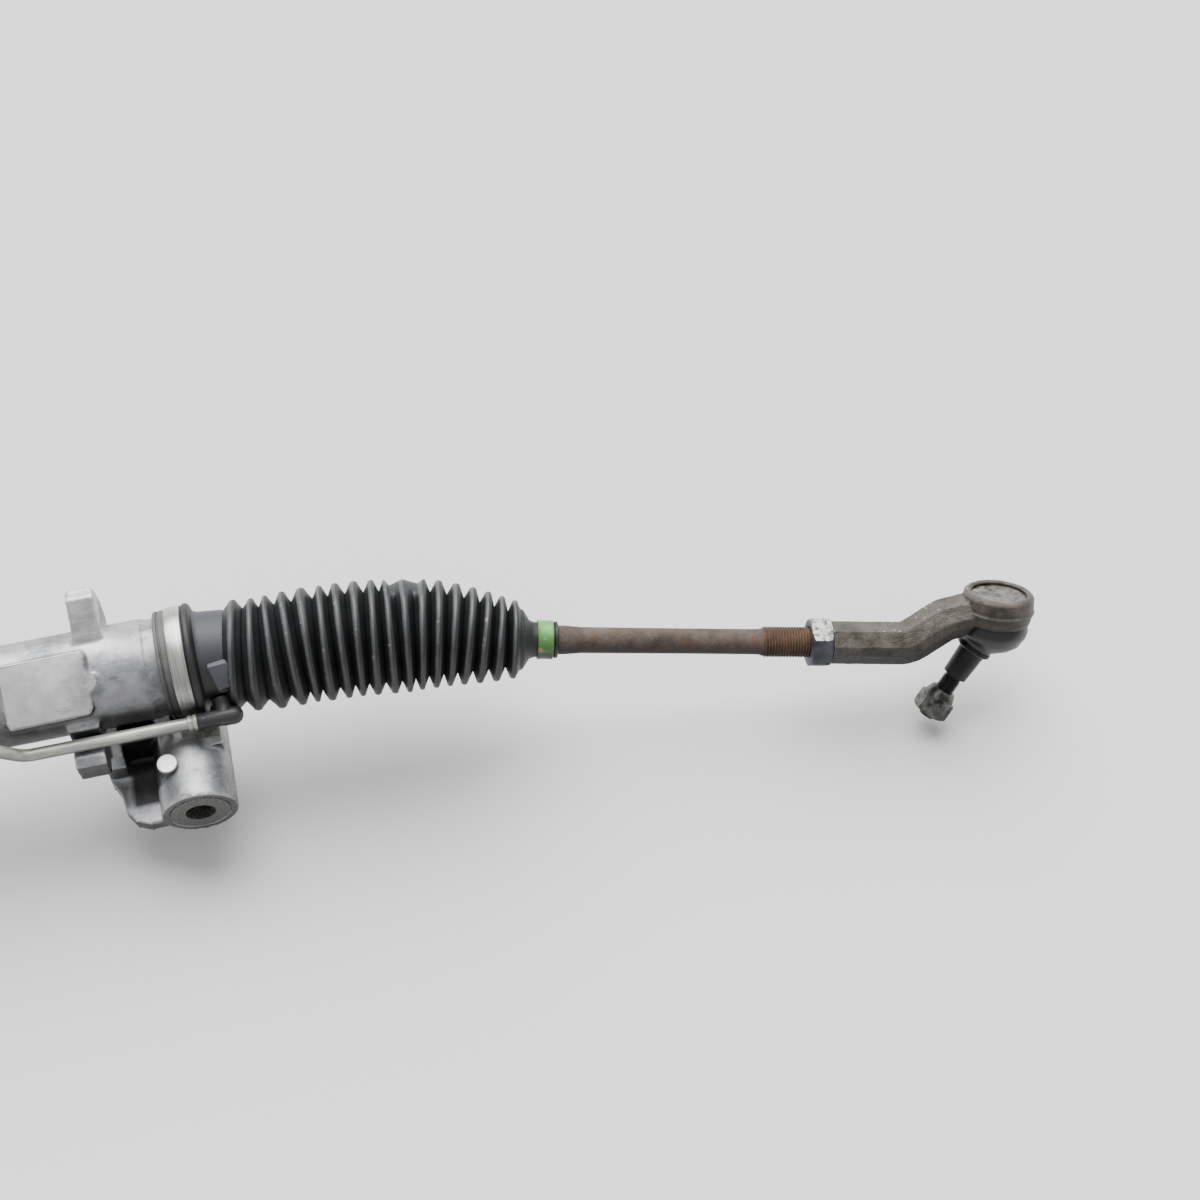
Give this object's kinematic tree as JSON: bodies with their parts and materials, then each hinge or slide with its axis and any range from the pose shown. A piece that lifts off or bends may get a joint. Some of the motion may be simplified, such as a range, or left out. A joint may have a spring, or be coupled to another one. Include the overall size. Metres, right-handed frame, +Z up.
{
  "type": "rack and pinion steering gear",
  "caption": "Manual rack and pinion steering gear: pinion in a tower drives a toothed rack whose ball-jointed tie rods, under pleated rubber boots, steer the wheels.",
  "frame": {"origin": "midway between the two mounting bores, on the machined faces of their bosses", "axes": "+X along the rack towards the right end, +Z up along the pinion shaft, +Y into the mounting bores, away from the boss faces"},
  "size_m": [1.3666, 0.1399, 0.1519],
  "materials": {
    "cast_aluminium": "as cast, dusty",
    "ground_steel": "ground, oiled",
    "machined_steel": "machined",
    "sleeve_steel": "turned face, speckled",
    "stainless_band": "satin",
    "pipe_steel": "pale plated",
    "green_clip": "dark green",
    "forged_steel": "forged, light rust",
    "rusty_rod": "light rust",
    "painted_nut": "worn pale paint",
    "black_steel": "black phosphate",
    "galvanised": "worn zinc",
    "black_rubber": "dusty matt",
    "pale_plastic": "plain",
    "spring_steel": "plain"
  },
  "bodies": {
    "housing": {"gear_housing": "cast_aluminium", "mount_sleeve_right": "sleeve_steel", "mount_sleeve_left": "sleeve_steel", "rack_bush": "pale_plastic", "pinion_bearing_outer": "machined_steel", "pinion_bush": "pale_plastic", "pinion_plug": "machined_steel", "pinion_cover": "cast_aluminium", "cover_bolts": "black_steel", "input_seal": "black_rubber", "rack_yoke": "cast_aluminium", "yoke_spring": "spring_steel", "yoke_plug": "machined_steel", "yoke_lock_nut": "machined_steel", "breather_pipe": "pipe_steel", "breather_elbow_right": "black_rubber", "breather_elbow_left": "black_rubber", "boot_clamp_right": "stainless_band", "boot_clamp_left": "stainless_band", "boot_right": "black_rubber", "boot_left": "black_rubber"},
    "rack": {"rack_bar": "ground_steel", "inner_socket_right": "machined_steel", "inner_socket_left": "machined_steel", "stop_washer_right": "machined_steel", "stop_washer_left": "machined_steel"},
    "pinion": {"pinion_shaft": "machined_steel", "pinion_bearing_inner": "machined_steel", "pinion_bearing_balls": "machined_steel", "pinion_nut": "machined_steel"},
    "seat_right": {"inner_seat_right": "pale_plastic"},
    "tie_right": {"tie_rod_right": "rusty_rod", "jam_nut_right": "painted_nut", "tie_rod_end_right": "forged_steel", "end_cap_right": "machined_steel", "outer_seat_right": "pale_plastic", "dust_boot_right": "black_rubber", "boot_clip_right": "green_clip"},
    "ring_right": {"dust_boot_ring_right": "spring_steel"},
    "stud_right": {"ball_stud_right": "black_steel", "stud_nut_right": "galvanised"},
    "seat_left": {"inner_seat_left": "pale_plastic"},
    "tie_left": {"tie_rod_left": "rusty_rod", "jam_nut_left": "painted_nut", "tie_rod_end_left": "forged_steel", "end_cap_left": "machined_steel", "outer_seat_left": "pale_plastic", "dust_boot_left": "black_rubber", "boot_clip_left": "green_clip"},
    "ring_left": {"dust_boot_ring_left": "spring_steel"},
    "stud_left": {"ball_stud_left": "black_steel", "stud_nut_left": "galvanised"}
  },
  "joints": [
    {"name": "rack_slide", "type": "slide", "parent": "housing", "child": "rack", "axis": [1, 0, 0], "range_m": [-0.064, 0.064], "deforming": ["boot_right", "boot_left"]},
    {"name": "pinion_spin", "type": "hinge", "parent": "housing", "child": "pinion", "pos_m": [-0.12, 0.05094, 0.0335], "axis": [0, 0, 1], "range_deg": [-458.5, 458.5]},
    {"name": "inner_sweep_right", "type": "hinge", "parent": "rack", "child": "seat_right", "pos_m": [0.3133, 0.0675, 0.0335], "axis": [0, 0, 1], "range_deg": [-3.9, 24.1], "deforming": ["boot_right"]},
    {"name": "inner_lift_right", "type": "hinge", "parent": "seat_right", "child": "tie_right", "pos_m": [0.3133, 0.0675, 0.0335], "axis": [-0.175, -0.9846, 0], "range_deg": [-6, 18], "deforming": ["boot_right"]},
    {"name": "stud_swing_right", "type": "hinge", "parent": "tie_right", "child": "ring_right", "pos_m": [0.66332, 0.01439, 0.00839], "axis": [-0.0787, -0.8001, 0.5947], "range_deg": [0, 57], "deforming": ["dust_boot_right"]},
    {"name": "stud_spin_right", "type": "hinge", "parent": "ring_right", "child": "stud_right", "pos_m": [0.66332, 0.01439, 0.00839], "axis": [-0.6317, -0.4215, -0.6507], "continuous": true},
    {"name": "inner_sweep_left", "type": "hinge", "parent": "rack", "child": "seat_left", "pos_m": [-0.3133, 0.0675, 0.0335], "axis": [0, 0, -1], "range_deg": [-3.9, 24.1], "deforming": ["boot_left"]},
    {"name": "inner_lift_left", "type": "hinge", "parent": "seat_left", "child": "tie_left", "pos_m": [-0.3133, 0.0675, 0.0335], "axis": [-0.175, 0.9846, 0], "range_deg": [-6, 18], "deforming": ["boot_left"]},
    {"name": "stud_swing_left", "type": "hinge", "parent": "tie_left", "child": "ring_left", "pos_m": [-0.66332, 0.01439, 0.00839], "axis": [-0.0787, 0.8001, -0.5947], "range_deg": [0, 57], "deforming": ["dust_boot_left"]},
    {"name": "stud_spin_left", "type": "hinge", "parent": "ring_left", "child": "stud_left", "pos_m": [-0.66332, 0.01439, 0.00839], "axis": [0.6317, -0.4215, -0.6507], "continuous": true}
  ],
  "couplings": [
    {"joint": "pinion_spin", "follows": "rack_slide", "rad_per_m": -125}
  ]
}
